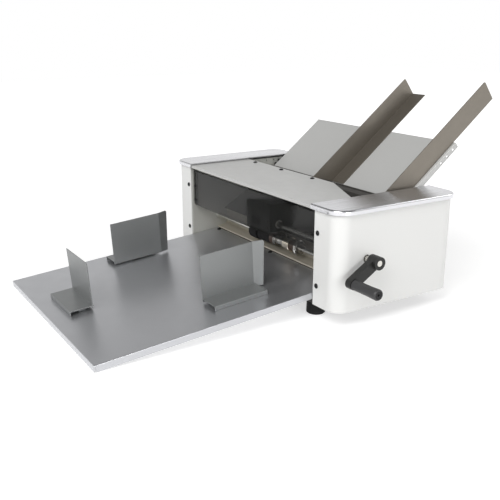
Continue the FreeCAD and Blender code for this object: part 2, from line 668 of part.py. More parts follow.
def feed_guide(x, side, s0):
    """A long angle: its upright's inner face is at x, its flange lies towards side, its foot is at s0."""
    t = FEED_GUIDE_SHEET
    s1 = s0 + FEED_GUIDE_LENGTH
    low = SLIDING_GAP
    high = FEED_GUIDE_HEIGHT
    nose = s0 - FEED_GUIDE_NOSE
    upright = prism_x([(s0, low), (s1, low), (s1, high), (nose, high)], x - side * t, x)
    upright = eased(
        upright, FEED_GUIDE_EASE,
        lambda edge: parallel(edge, X_AXIS) and edge.CenterOfMass.z > high - 0.01
        and edge.CenterOfMass.y > s1 - 0.01,
    )
    edge_x = x + side * FEED_GUIDE_FLANGE
    flange = box(min(x, edge_x), max(x, edge_x), s0, s1, low, low + t)
    angle = upright.fuse(flange).removeSplitter()
    angle = eased(
        angle, t * 0.8,
        lambda edge: parallel(edge, Y_AXIS) and edge.CenterOfMass.z < low + 0.01
        and abs(edge.CenterOfMass.x - (x - side * t)) < 0.01,
    )
    return on_table(angle)


def delivery_tray():
    """A pan of thin sheet, folded down along its front and sides, with open corner slits."""
    slope = math.radians(TRAY_ANGLE)
    s0 = TRAY_FRONT_Y / math.cos(slope)
    s1 = TRAY_REAR_Y / math.cos(slope)
    w = TRAY_HALF_WIDTH
    depth = (TRAY_TOP_Z + TRAY_FRONT_Y * TRAY_BAR_TILT) / math.cos(slope)
    t = TRAY_SHEET
    top = box(-w, w, s0, s1, -t, 0)
    front = box(-w + TRAY_CORNER_SLIT, w - TRAY_CORNER_SLIT, s0, s0 + t, -depth, 0)
    sides = [box(x, x + t, s0 + t + TRAY_CORNER_SLIT, s1, -depth, 0) for x in (-w, w - t)]
    tray = top.fuse([front] + sides).removeSplitter()
    tray = eased(
        tray, t * 0.8,
        lambda edge: edge.CenterOfMass.z > -0.01
        and (edge.CenterOfMass.y < s0 + 0.01 or abs(edge.CenterOfMass.x) > w - 0.01),
    )
    for x in TRAY_SCREW_X:
        tray = tray.cut(cyl_z(x, TRAY_SCREW_Y / math.cos(slope), M5_R + SCREW_GAP, -t - 1, 1))
    return on_tray(tray)


def tray_bar():
    """The cross bar that carries the tray's inner end; its top follows the tray."""
    under = TRAY_SHEET / math.cos(math.radians(TRAY_ANGLE))
    z_front = TRAY_TOP_Z + TRAY_BAR_FRONT_Y * TRAY_BAR_TILT - under
    z_rear = TRAY_TOP_Z + TRAY_REAR_Y * TRAY_BAR_TILT - under
    corners = [
        (TRAY_BAR_FRONT_Y, TRAY_BAR_BOTTOM_Z), (TRAY_BAR_REAR_Y, TRAY_BAR_BOTTOM_Z),
        (TRAY_BAR_REAR_Y, z_rear), (TRAY_REAR_Y, z_rear), (TRAY_BAR_FRONT_Y, z_front),
    ]
    bar = prism_x(corners, -FRAME_INNER_X, FRAME_INNER_X)
    side_cut = FRAME_INNER_X - TRAY_HALF_WIDTH + TRAY_SHEET + SLIDING_GAP
    y0 = TRAY_BAR_FRONT_Y - 1
    for x in (-FRAME_INNER_X, FRAME_INNER_X - side_cut):
        bar = bar.cut(box(x, x + side_cut, y0, TRAY_REAR_Y + 1, TRAY_BAR_BOTTOM_Z - 1, z_rear + 5))
    for x in TRAY_SCREW_X:
        hole = cyl_z(x, TRAY_SCREW_Y / math.cos(math.radians(TRAY_ANGLE)), M5_R, -14, 1)
        bar = bar.cut(on_tray(hole))
    return bar


def tray_screws():
    y = TRAY_SCREW_Y / math.cos(math.radians(TRAY_ANGLE))
    return [on_tray(button_screw(Vector(x, y, 0), Z_AXIS, M5_R, 10)) for x in TRAY_SCREW_X]


def folded_guide(angle, fold_low, fold_high, reach_low, reach_high):
    """A guide folded from sheet, drawn on a level plane: its plate stands on X = 0 and runs along
    +Y, its base reaches to +X and ends in a lip, and its far end flares to +X on a slanted fold."""
    t = GUIDE_SHEET
    base = GUIDE_BASE_HEIGHT
    low = GUIDE_PLATE_LOW
    high = GUIDE_PLATE_HEIGHT
    top = box(0, GUIDE_BASE_WIDTH, 0, GUIDE_LENGTH, base - t, base)
    lip = box(GUIDE_BASE_WIDTH - t, GUIDE_BASE_WIDTH, 0, GUIDE_LENGTH, SLIDING_GAP, base)
    plate = prism_x([(0, low), (fold_low, low), (fold_high, high), (GUIDE_END_LEAN, high)], 0, t)
    end = prism_x(
        [
            (fold_low, low), (fold_low + reach_low, low), (fold_high + reach_high, high - GUIDE_EASE),
            (fold_high + reach_high - GUIDE_EASE, high), (fold_high, high),
        ],
        0, t,
    )
    fold = Vector(0, fold_high - fold_low, high - low)
    end.rotate(Vector(0, fold_low, low), fold, -angle)
    guide = top.fuse([lip, plate, end]).removeSplitter()
    return eased(
        guide, t * 0.8,
        lambda edge: parallel(edge, Y_AXIS) and edge.Length > GUIDE_LENGTH - 1
        and edge.CenterOfMass.z > base - 0.01 and edge.CenterOfMass.x > GUIDE_BASE_WIDTH - 0.01,
    )


def side_guide():
    """A delivery side guide with its magnets."""
    angle = folded_guide(SIDE_FLARE_ANGLE, SIDE_FOLD_LOW, SIDE_FOLD_HIGH, SIDE_REACH_LOW, SIDE_REACH_HIGH)
    return [angle] + guide_magnets()


def stop_guide():
    """The end stop with its magnets."""
    angle = folded_guide(STOP_FLARE_ANGLE, STOP_FOLD_LOW, STOP_FOLD_HIGH, STOP_REACH_LOW, STOP_REACH_HIGH)
    return [angle] + guide_magnets()


def guide_magnets():
    """Two block magnets under the base of a folded guide, on the same level plane."""
    top = GUIDE_BASE_HEIGHT - GUIDE_SHEET
    inset = (GUIDE_LENGTH - 2 * MAGNET_LENGTH) / 3.0
    x0 = (GUIDE_BASE_WIDTH - MAGNET_WIDTH) / 2.0 - 6
    return [
        box(x0, x0 + MAGNET_WIDTH, y, y + MAGNET_LENGTH, SLIDING_GAP, top)
        for y in (inset, 2 * inset + MAGNET_LENGTH)
    ]


def at_right_guide(shape):
    placed = shape.translated(Vector(RIGHT_GUIDE_X, RIGHT_GUIDE_Y, 0))
    return on_tray(placed)


def at_left_guide(shape):
    placed = mirrored(shape).translated(Vector(LEFT_GUIDE_X, LEFT_GUIDE_Y, 0))
    return on_tray(placed)


def at_end_stop(shape):
    placed = shape.copy()
    placed.rotate(Vector(0, 0, 0), Z_AXIS, -90)
    placed.translate(Vector(END_STOP_X, END_STOP_Y, 0))
    return on_tray(placed)


def bushes(places, x_face, inward):
    """Flanged bushes in a frame plate: the flange lies on the face at x_face."""
    solids = []
    for y, z, radius in places:
        bore = radius + RUNNING_GAP
        x_far = x_face + inward * (-FRAME_PLATE - BUSH_NOSE)
        x_flange = x_face + inward * BUSH_FLANGE
        body = cyl_x(y, z, bore + BUSH_WALL, min(x_far, x_face), max(x_far, x_face))
        flange_r = bore + BUSH_WALL + BUSH_RIM
        flange = cyl_x(y, z, flange_r, min(x_face, x_flange), max(x_face, x_flange))
        hole = cyl_x(y, z, bore, -400, 400)
        solids.append(body.fuse(flange).removeSplitter().cut(hole))
    return solids


def head_profile(inset):
    """Side profile of the perforating head, drawn in by inset."""
    return [
        (HEAD_FRONT_Y + inset, HEAD_BOTTOM_Z), (HEAD_CHAMFER_Y - inset, HEAD_BOTTOM_Z),
        (HEAD_REAR_Y - inset, HEAD_REAR_BOTTOM_Z), (HEAD_REAR_Y - inset, HEAD_TOP_Z - inset),
        (HEAD_FRONT_Y + inset, HEAD_TOP_Z - inset),
    ]


def perf_head():
    """A hollow moulded head, open below, hung from the cover bar by a lug."""
    body = prism_x(head_profile(0), HEAD_LEFT_X, HEAD_RIGHT_X)
    body = eased(
        body, HEAD_CORNER_R,
        lambda edge: parallel(edge, X_AXIS) and edge.CenterOfMass.z > HEAD_TOP_Z - 0.01,
    )
    hollow = prism_x(head_profile(HEAD_WALL), HEAD_LEFT_X + HEAD_WALL, HEAD_RIGHT_X - HEAD_WALL)
    below = prism_x(
        [
            (HEAD_FRONT_Y + HEAD_WALL, HEAD_BOTTOM_Z - 1), (HEAD_REAR_Y - HEAD_WALL, HEAD_BOTTOM_Z - 1),
            (HEAD_REAR_Y - HEAD_WALL, HEAD_REAR_BOTTOM_Z), (HEAD_FRONT_Y + HEAD_WALL, HEAD_REAR_BOTTOM_Z),
        ],
        HEAD_LEFT_X + HEAD_WALL, HEAD_RIGHT_X - HEAD_WALL,
    )
    body = body.cut(hollow.fuse(below))
    boss = cyl_x(CRANK_Y, CRANK_Z, HEAD_BOSS_R, HEAD_RIGHT_X, HEAD_RIGHT_X + HEAD_BOSS)
    middle = (HEAD_SCREW_X[0] + HEAD_SCREW_X[1]) / 2.0
    lug_x0 = middle - HEAD_LUG_WIDTH / 2.0
    lug_x1 = middle + HEAD_LUG_WIDTH / 2.0
    lug = prism_x(
        [
            (HEAD_REAR_Y - HEAD_WALL, HEAD_TOP_Z - 26), (HEAD_REAR_Y + 14, HEAD_TOP_Z - 8),
            (COVER_BAR_REAR_Y, COVER_BAR_BOTTOM_Z - 6), (COVER_BAR_REAR_Y, COVER_BAR_BOTTOM_Z),
            (COVER_BAR_FRONT_Y, COVER_BAR_BOTTOM_Z), (HEAD_REAR_Y - HEAD_WALL, HEAD_TOP_Z - 6),
        ],
        lug_x0, lug_x1,
    )
    body = body.fuse([boss, lug]).removeSplitter()
    seat = SHAFT_R + RUNNING_GAP + BUSH_WALL
    body = body.cut(cyl_x(CRANK_Y, CRANK_Z, seat, HEAD_LEFT_X - 1, HEAD_RIGHT_X + HEAD_BOSS + 1))
    stem_r = KNOB_STEM_R + RUNNING_GAP
    body = body.cut(cyl_x(KNOB_Y, KNOB_Z, stem_r, HEAD_RIGHT_X - HEAD_WALL - 1, HEAD_RIGHT_X + 1))
    blade_half = PERF_WHEEL_SHEET / 2.0 + HEAD_SLOT_GAP
    slot_r = PERF_WHEEL_R + HEAD_SLOT_GAP
    body = body.cut(cyl_x(CRANK_Y, CRANK_Z, slot_r, ANVIL_X - blade_half, ANVIL_X + blade_half))
    tyre_x0 = PINCH_TYRE_X[0] - HEAD_SLOT_GAP
    tyre_x1 = PINCH_TYRE_X[1] + HEAD_SLOT_GAP
    body = body.cut(cyl_x(CRANK_Y, CRANK_Z, PINCH_TYRE_R + HEAD_SLOT_GAP, tyre_x0, tyre_x1))
    bar_z = COVER_BAR_BOTTOM_Z
    for x in HEAD_SCREW_X:
        body = body.cut(cyl_z(x, COVER_SCREW_Y, M6_R + SCREW_GAP, bar_z - 30, bar_z + 1))
        spot_r = M6_R * HEAD_RATIO + SCREW_GAP
        body = body.cut(cyl_z(x, COVER_SCREW_Y, spot_r, bar_z - 40, bar_z - HEAD_SCREW_SEAT))
    return body


def head_bushes():
    bore = SHAFT_R + RUNNING_GAP
    left = ring_x(CRANK_Y, CRANK_Z, bore + BUSH_WALL, bore, HEAD_LEFT_X, HEAD_LEFT_X + HEAD_WALL + 1)
    right = ring_x(
        CRANK_Y, CRANK_Z, bore + BUSH_WALL, bore, HEAD_RIGHT_X - HEAD_WALL - 1, HEAD_RIGHT_X + HEAD_BOSS,
    )
    return [left, right]


def head_screws():
    """Two screws from below, through the lug into the cover bar, on flat-bottomed seats."""
    seat_z = COVER_BAR_BOTTOM_Z - HEAD_SCREW_SEAT
    length = COVER_BAR_HEIGHT - 3 + HEAD_SCREW_SEAT
    down = Vector(0, 0, -1)
    return [button_screw(Vector(x, COVER_SCREW_Y, seat_z), down, M6_R, length) for x in HEAD_SCREW_X]


def head_knob():
    """A fluted knob on a stem in the head's right cheek."""
    x0 = HEAD_RIGHT_X + SIDE_PLAY
    x1 = x0 + KNOB_WIDTH
    knob = cyl_x(KNOB_Y, KNOB_Z, KNOB_R, x0, x1)
    for flute in range(KNOB_FLUTES):
        turn = 2 * math.pi * flute / KNOB_FLUTES
        y = KNOB_Y + (KNOB_R + 0.9) * math.cos(turn)
        z = KNOB_Z + (KNOB_R + 0.9) * math.sin(turn)
        knob = knob.cut(cyl_x(y, z, 1.9, x0 - 1, x1 + 1))
    dish = cyl_x(KNOB_Y, KNOB_Z, KNOB_R * 0.55, x1 - 1.5, x1 + 1)
    stem = cyl_x(KNOB_Y, KNOB_Z, KNOB_STEM_R, HEAD_RIGHT_X - HEAD_WALL - 6, x0 + 1)
    return knob.cut(dish).fuse(stem).removeSplitter()


def drive_shaft():
    left = HEAD_LEFT_X + 0.5
    shaft = cyl_x(CRANK_Y, CRANK_Z, SHAFT_R, left, CRANK_HUB_X[1] - 0.6)
    return shaft.makeChamfer(0.6, [edge for edge in shaft.Edges if edge.Closed])


def gear_hub(y, z, bore):
    x0 = GEAR_X + GEAR_WIDTH
    return ring_x(y, z, GEAR_HUB_R, bore, x0, x0 + GEAR_HUB_LENGTH)


def crank_gear():
    """The larger gear, with a tooth that points down the line between the shafts."""
    phase = GEAR_LINE_ANGLE / 360.0 * CRANK_GEAR_TEETH
    wheel = gear(CRANK_GEAR_TEETH, GEAR_MODULE, CRANK_Y, CRANK_Z, GEAR_X, GEAR_WIDTH, SHAFT_R, phase)
    return wheel.fuse(gear_hub(CRANK_Y, CRANK_Z, SHAFT_R)).removeSplitter()


def anvil_gear():
    """The smaller gear, with a gap that points up the same line."""
    phase = (GEAR_LINE_ANGLE + 180.0) / 360.0 * ANVIL_GEAR_TEETH + 0.5
    wheel = gear(ANVIL_GEAR_TEETH, GEAR_MODULE, ANVIL_Y, ANVIL_Z, GEAR_X, GEAR_WIDTH, LOWER_SHAFT_R, phase)
    return wheel.fuse(gear_hub(ANVIL_Y, ANVIL_Z, LOWER_SHAFT_R)).removeSplitter()


def perf_wheel():
    """The toothed blade: a thin disc cut into short perforating teeth."""
    points = []
    for tooth in range(PERF_TOOTH_COUNT):
        start = 2 * math.pi * tooth / PERF_TOOTH_COUNT
        pitch = 2 * math.pi / PERF_TOOTH_COUNT
        for radius, share in (
            (PERF_WHEEL_R, 0.0), (PERF_WHEEL_R, 0.55), (PERF_WHEEL_R - PERF_TOOTH_DEPTH, 0.65),
            (PERF_WHEEL_R - PERF_TOOTH_DEPTH, 0.9),
        ):
            turn = start + share * pitch
            points.append((CRANK_Y + radius * math.cos(turn), CRANK_Z + radius * math.sin(turn)))
    half = PERF_WHEEL_SHEET / 2.0
    disc = prism_x(points, ANVIL_X - half, ANVIL_X + half)
    return disc.cut(cyl_x(CRANK_Y, CRANK_Z, PERF_HUB_R, ANVIL_X - 5, ANVIL_X + 5))


def perf_hub():
    """The sleeve that clamps the blade, with a flange on each side of it."""
    half = PERF_WHEEL_SHEET / 2.0
    outer = half + PERF_HUB_FLANGE
    x0 = ANVIL_X - 8
    x1 = ANVIL_X + outer
    sleeve = cyl_x(CRANK_Y, CRANK_Z, PERF_HUB_R, x0, x1)
    left = cyl_x(CRANK_Y, CRANK_Z, PERF_HUB_FLANGE_R, ANVIL_X - outer, ANVIL_X - half)
    right = cyl_x(CRANK_Y, CRANK_Z, PERF_HUB_FLANGE_R, ANVIL_X + half, x1)
    hub = sleeve.fuse([left, right]).removeSplitter()
    return hub.cut(cyl_x(CRANK_Y, CRANK_Z, SHAFT_R, x0 - 1, x1 + 1))


def pinch_tyre():
    """The upper rubber tyre, just clear of the tyre below it."""
    return ring_x(CRANK_Y, CRANK_Z, PINCH_TYRE_R, SHAFT_R, PINCH_TYRE_X[0], PINCH_TYRE_X[1])


def anvil_shaft():
    x0 = -FRAME_OUTER_X - BUSH_NOSE - 4
    x1 = PULLEY_X + PULLEY_WIDTH + 3
    shaft = cyl_x(ANVIL_Y, ANVIL_Z, LOWER_SHAFT_R, x0, x1)
    return shaft.makeChamfer(0.6, [edge for edge in shaft.Edges if edge.Closed])


def exit_tyres():
    solids = []
    for x0, x1, radius in TYRES:
        ease = TYRE_EASE
        profile = [
            (0, TYRE_SLEEVE_R), (0, radius - ease), (ease, radius), (x1 - x0 - ease, radius),
            (x1 - x0, radius - ease), (x1 - x0, TYRE_SLEEVE_R),
        ]
        solids.append(turned(profile, Vector(x0, ANVIL_Y, ANVIL_Z), X_AXIS))
    return solids


def tyre_sleeves():
    """Metal sleeves inside the tyres, each a little longer than its tyre."""
    return [
        ring_x(ANVIL_Y, ANVIL_Z, TYRE_SLEEVE_R, LOWER_SHAFT_R, x0 - 0.5, x1 + 0.5)
        for x0, x1, radius in TYRES
    ]


def spacer_sleeves():
    return [ring_x(ANVIL_Y, ANVIL_Z, radius, LOWER_SHAFT_R, x0, x1) for x0, x1, radius in SPACERS]


def anvil_wheel():
    """The lower wheel: a flange with the groove that takes the blade's teeth, then a long waist."""
    left = ANVIL_LEFT_X - ANVIL_X
    flange = ANVIL_FLANGE_RIGHT_X - ANVIL_X
    right = ANVIL_RIGHT_X - ANVIL_X
    groove = ANVIL_GROOVE_WIDTH / 2.0
    bottom = ANVIL_R - ANVIL_GROOVE_DEPTH
    profile = [
        (left, LOWER_SHAFT_R), (left, ANVIL_R - 0.6), (left + 0.6, ANVIL_R), (-groove, ANVIL_R),
        (-groove, bottom), (groove, bottom), (groove, ANVIL_R), (flange, ANVIL_R),
        (flange, ANVIL_WAIST_R), (right, ANVIL_WAIST_R), (right, LOWER_SHAFT_R),
    ]
    return turned(profile, Vector(ANVIL_X, ANVIL_Y, ANVIL_Z), X_AXIS)


def press_ring():
    """A plain bright roller between the grooved wheel and the disc."""
    x0, x1 = PRESS_RING_X
    width = x1 - x0
    profile = [
        (0, LOWER_SHAFT_R), (0, PRESS_RING_R - 0.8), (0.8, PRESS_RING_R), (width - 0.8, PRESS_RING_R),
        (width, PRESS_RING_R - 0.8), (width, LOWER_SHAFT_R),
    ]
    return turned(profile, Vector(x0, ANVIL_Y, ANVIL_Z), X_AXIS)


def score_disc():
    """A dished disc on its own collar, for a scored fold line."""
    half = SCORE_DISC_WIDTH / 2.0
    hub_end = SCORE_DISC_HUB_X - SCORE_DISC_X
    outer = SCORE_DISC_R
    profile = [
        (-half, LOWER_SHAFT_R), (-half, outer - 1.5), (-half + 1.5, outer), (half - 1.5, outer),
        (half, outer - 1.5), (half - 1.5, SCORE_DISC_HUB_R + 1), (half, SCORE_DISC_HUB_R),
        (hub_end, SCORE_DISC_HUB_R), (hub_end, LOWER_SHAFT_R),
    ]
    return turned(profile, Vector(SCORE_DISC_X, ANVIL_Y, ANVIL_Z), X_AXIS)


def pulley(y, z, bore, pitch_r):
    """A flanged pulley; the belt runs between its rims."""
    x0 = PULLEY_X
    x1 = PULLEY_X + PULLEY_WIDTH
    body = cyl_x(y, z, pitch_r, x0, x1)
    rims = [
        cyl_x(y, z, pitch_r + PULLEY_RIM, x, x + PULLEY_RIM_WIDTH)
        for x in (x0, x1 - PULLEY_RIM_WIDTH)
    ]
    body = body.fuse(rims).removeSplitter()
    return body.cut(cyl_x(y, z, bore, x0 - 1, x1 + 1))


def belt_loop(extra, x0, x1):
    """The outer form of a belt round both pulleys, its radius larger than theirs by extra."""
    small = DRIVE_PULLEY_R + extra
    large = FEED_PULLEY_R + extra
    dy = ROLLER_Y - ANVIL_Y
    dz = ROLLER_Z - ANVIL_Z
    distance = math.hypot(dy, dz)
    line = math.atan2(dz, dy)
    lean = math.asin((large - small) / distance)
    up = line + math.pi / 2 + lean
    down = line - math.pi / 2 - lean
    corners = [
        (ANVIL_Y + small * math.cos(up), ANVIL_Z + small * math.sin(up)),
        (ROLLER_Y + large * math.cos(up), ROLLER_Z + large * math.sin(up)),
        (ROLLER_Y + large * math.cos(down), ROLLER_Z + large * math.sin(down)),
        (ANVIL_Y + small * math.cos(down), ANVIL_Z + small * math.sin(down)),
    ]
    web = prism_x(corners, x0, x1)
    ends = [cyl_x(ANVIL_Y, ANVIL_Z, small, x0, x1), cyl_x(ROLLER_Y, ROLLER_Z, large, x0, x1)]
    return web.fuse(ends).removeSplitter()


def feed_belt():
    x0 = PULLEY_X + (PULLEY_WIDTH - BELT_WIDTH) / 2.0 + 0.3
    x1 = x0 + BELT_WIDTH - 0.6
    outer = belt_loop(SOFT_GAP + BELT_THICKNESS, x0, x1)
    inner = belt_loop(SOFT_GAP, x0 - 1, x1 + 1)
    return outer.cut(inner)


def feed_shaft():
    x0 = -FRAME_OUTER_X - BUSH_NOSE - 4
    x1 = PULLEY_X + PULLEY_WIDTH + 3
    shaft = cyl_x(ROLLER_Y, ROLLER_Z, FEED_SHAFT_R, x0, x1)
    return shaft.makeChamfer(0.6, [edge for edge in shaft.Edges if edge.Closed])


def feed_tyres():
    return [ring_x(ROLLER_Y, ROLLER_Z, FEED_TYRE_R, FEED_SHAFT_R, x0, x1) for x0, x1 in FEED_TYRE_X]


def separator_pad():
    s0, s1 = SEPARATOR_SPAN
    pad = box(-SEPARATOR_HALF_WIDTH, SEPARATOR_HALF_WIDTH, s0, s1, SOFT_GAP, SOFT_GAP + SEPARATOR_PAD)
    return on_table(pad)


def separator_arm():
    """The arm behind the cover bar that holds the pad over the feed roller."""
    s0, s1 = SEPARATOR_SPAN
    n0 = SOFT_GAP + SEPARATOR_PAD
    n1 = n0 + SEPARATOR_BLOCK
    top = COVER_UNDER_Z - SEPARATOR_DROP
    corners = [
        (COVER_BAR_REAR_Y, top), (COVER_BAR_REAR_Y + SEPARATOR_ROOT, top),
        slope_point(s1, n1), slope_point(s1, n0), slope_point(s0, n0), slope_point(s0, n1),
        (COVER_BAR_REAR_Y, COVER_BAR_BOTTOM_Z),
    ]
    return prism_x(corners, -SEPARATOR_HALF_WIDTH, SEPARATOR_HALF_WIDTH)


def feed_chute():
    """The lower paper guide, from the feed table to the wheels, slotted for the feed tyres."""
    t = CHUTE_SHEET
    knee = slope_point(CHUTE_KNEE_S, 0)
    knee_under = slope_point(CHUTE_KNEE_S, -t)
    corners = [
        slope_point(-TABLE_FOOT - 0.5, 0), knee, (CHUTE_END_Y, CHUTE_END_Z), (CHUTE_END_Y, CHUTE_END_Z - t),
        knee_under, slope_point(-TABLE_FOOT - 0.5, -t),
    ]
    chute = prism_x(corners, -FRAME_INNER_X, FRAME_INNER_X)
    s0, s1 = CHUTE_SLOT_SPAN
    for x0, x1 in FEED_TYRE_X:
        slot = box(x0 - 1.5, x1 + 1.5, s0, s1, -t - 3, 3)
        chute = chute.cut(on_table(slot))
    return chute


def exit_plate():
    """The sheet below the wheels, with a rolled lip over the tray's inner end."""
    t = EXIT_SHEET
    top = CHUTE_END_Z - CHUTE_SHEET + (EXIT_BACK_Y - CHUTE_END_Y) * chute_rise() - 0.5
    corners = [
        (EXIT_LIP_Y, EXIT_LIP_Z), (EXIT_BACK_Y, EXIT_BACK_Z), (EXIT_BACK_Y, top), (EXIT_BACK_Y + t, top),
        (EXIT_BACK_Y + t, EXIT_BACK_Z - t), (EXIT_LIP_Y, EXIT_LIP_Z - t),
    ]
    plate = prism_x(corners, -FRAME_INNER_X, FRAME_INNER_X)
    lip = cyl_x(EXIT_LIP_Y, EXIT_LIP_Z, EXIT_LIP_R, -FRAME_INNER_X, FRAME_INNER_X)
    return plate.fuse(lip).removeSplitter()


def chute_rise():
    """Slope of the chute's flatter stretch."""
    knee_y, knee_z = slope_point(CHUTE_KNEE_S, 0)
    return (knee_z - CHUTE_END_Z) / (knee_y - CHUTE_END_Y)


def crank_arm():
    """Hub, flat tapering arm and a round end, moulded in one."""
    hub = cyl_x(CRANK_Y, CRANK_Z, CRANK_HUB_R, CRANK_HUB_X[0], CRANK_HUB_X[1])
    end = cyl_x(GRIP_Y, GRIP_Z, CRANK_ARM_END_R, CRANK_ARM_X[0], CRANK_ARM_X[1])
    direction = math.atan2(GRIP_Z - CRANK_Z, GRIP_Y - CRANK_Y)
    lean = math.asin((CRANK_HUB_R - 2 - CRANK_ARM_END_R) / CRANK_RADIUS)
    sides = []
    for turn, radius, y, z in (
        (direction + math.pi / 2 - lean, CRANK_HUB_R - 2, CRANK_Y, CRANK_Z),
        (direction + math.pi / 2 - lean, CRANK_ARM_END_R, GRIP_Y, GRIP_Z),
        (direction - math.pi / 2 + lean, CRANK_ARM_END_R, GRIP_Y, GRIP_Z),
        (direction - math.pi / 2 + lean, CRANK_HUB_R - 2, CRANK_Y, CRANK_Z),
    ):
        sides.append((y + radius * math.cos(turn), z + radius * math.sin(turn)))
    web = prism_x(sides, CRANK_ARM_X[0], CRANK_ARM_X[1])
    arm = hub.fuse([end, web]).removeSplitter()
    arm = arm.cut(cyl_x(CRANK_Y, CRANK_Z, SHAFT_R, CRANK_HUB_X[0] - 1, CRANK_HUB_X[1] + 1))
    arm = arm.cut(cyl_x(GRIP_Y, GRIP_Z, GRIP_BOLT_R, CRANK_ARM_X[0] - 1, CRANK_ARM_X[1] + 1))
    return arm.cut(set_screw_hole())


def set_screw_hole():
    top = Vector(CRANK_HUB_X[0] + 5, CRANK_Y, CRANK_Z)
    return Part.makeCylinder(M5_R * 0.8, CRANK_HUB_R + 1, top, Z_AXIS)


def crank_set_screw():
    base = Vector(CRANK_HUB_X[0] + 5, CRANK_Y, CRANK_Z + SHAFT_R)
    screw = Part.makeCylinder(M5_R * 0.8, CRANK_HUB_R - SHAFT_R - 0.6, base, Z_AXIS)
    return screw


def grip_bolt():
    """The shoulder bolt that carries the grip; its head sits in the grip's recess."""
    x_head = GRIP_X[1] - GRIP_RECESS + 0.4
    shank = cyl_x(GRIP_Y, GRIP_Z, GRIP_BOLT_R, CRANK_ARM_X[0] + 1, x_head)
    head = cyl_x(GRIP_Y, GRIP_Z, GRIP_BOLT_HEAD_R, x_head, x_head + GRIP_BOLT_HEAD)
    socket = cyl_x(GRIP_Y, GRIP_Z, M5_R, x_head + 1, x_head + GRIP_BOLT_HEAD + 1)
    return shank.fuse(head).removeSplitter().cut(socket)


def crank_grip():
    """A slightly flared cylinder that spins on its bolt."""
    length = GRIP_X[1] - GRIP_X[0]
    bore = GRIP_BOLT_R + RUNNING_GAP
    recess = GRIP_BOLT_HEAD_R + SLIDING_GAP
    profile = [
        (0, bore), (0, GRIP_R - 1), (1, GRIP_R), (length * 0.6, GRIP_R), (length - 2, GRIP_END_R),
        (length, GRIP_END_R - 1), (length, recess), (length - GRIP_RECESS, recess),
        (length - GRIP_RECESS, bore),
    ]
    return turned(profile, Vector(GRIP_X[0], GRIP_Y, GRIP_Z), X_AXIS)


def window_pane():
    w = FRAME_INNER_X - WINDOW_SIDE_GAP
    pane = box(-w, w, WINDOW_Y, WINDOW_Y + WINDOW_SHEET, WINDOW_BOTTOM_Z, WINDOW_TOP_Z)
    pane = eased(
        pane, WINDOW_CORNER_R,
        lambda edge: parallel(edge, Y_AXIS) and edge.CenterOfMass.z < WINDOW_BOTTOM_Z + 0.01,
    )
    y0 = WINDOW_Y - 1
    y1 = WINDOW_Y + WINDOW_SHEET + 1
    for side in (-1, 1):
        for z in BRACKET_SCREW_Z:
            pane = pane.cut(cyl_y(side * bracket_middle(), z, M4_R + SCREW_GAP, y0, y1))
    return pane


def bracket_middle():
    return FRAME_INNER_X - WINDOW_SIDE_GAP - BRACKET_WIDTH / 2.0


def window_bracket():
    """A strip on the window's edge with an eye round the hinge rod, on the right side."""
    x1 = FRAME_INNER_X - WINDOW_SIDE_GAP
    x0 = x1 - BRACKET_WIDTH
    y0 = WINDOW_Y + WINDOW_SHEET
    strip = box(x0, x1, y0, y0 + BRACKET_SHEET, WINDOW_BOTTOM_Z + 1, WINDOW_AXIS_Z)
    eye = cyl_x(WINDOW_AXIS_Y, WINDOW_AXIS_Z, BRACKET_EYE_R, x0, x1)
    bracket = strip.fuse(eye).removeSplitter()
    bracket = bracket.cut(cyl_x(WINDOW_AXIS_Y, WINDOW_AXIS_Z, WINDOW_ROD_R + RUNNING_GAP, x0 - 1, x1 + 1))
    for z in BRACKET_SCREW_Z:
        bracket = bracket.cut(cyl_y(bracket_middle(), z, M4_R, y0 - 1, y0 + BRACKET_SHEET + 1))
    return bracket


def window_screws():
    length = WINDOW_SHEET + BRACKET_SHEET + 1.5
    return [
        button_screw(Vector(side * bracket_middle(), WINDOW_Y, z), Vector(0, -1, 0), M4_R, length)
        for side in (-1, 1) for z in BRACKET_SCREW_Z
    ]


def housing_screws():
    solids = []
    length = HOUSING_SHEET + FRAME_PLATE + 6
    for side in (-1, 1):
        for z in HOUSING_SCREW_Z:
            x = side * HOUSING_SCREW_X
            solids.append(button_screw(Vector(x, 0, z), Vector(0, -1, 0), M5_R, length))
            solids.append(button_screw(Vector(x, HOUSING_DEPTH, z), Vector(0, 1, 0), M5_R, length))
    return solids


def cover_screws():
    return [
        button_screw(Vector(x, COVER_SCREW_Y, COVER_TOP_Z), Z_AXIS, M5_R, COVER_SHEET + 8)
        for x in COVER_SCREW_X
    ]


def right_housing_with_crank_hole():
    hole = cyl_x(CRANK_Y, CRANK_Z, SHAFT_R + CRANK_HOLE_GAP, HOUSING_OUTER_X - 10, HOUSING_OUTER_X + 1)
    return right_housing().cut(hole)


def base_shift():
    """The shift that brings the centre of the whole outline's base to the origin."""
    tip_y, tip_z = slope_point(RIGHT_FEED_GUIDE_FOOT + FEED_GUIDE_LENGTH, SLIDING_GAP)
    x_low = -HOUSING_OUTER_X - CAP_OVERHANG
    x_high = GRIP_X[1]
    return Vector(-(x_low + x_high) / 2.0, -(TRAY_FRONT_Y + tip_y) / 2.0, 0)


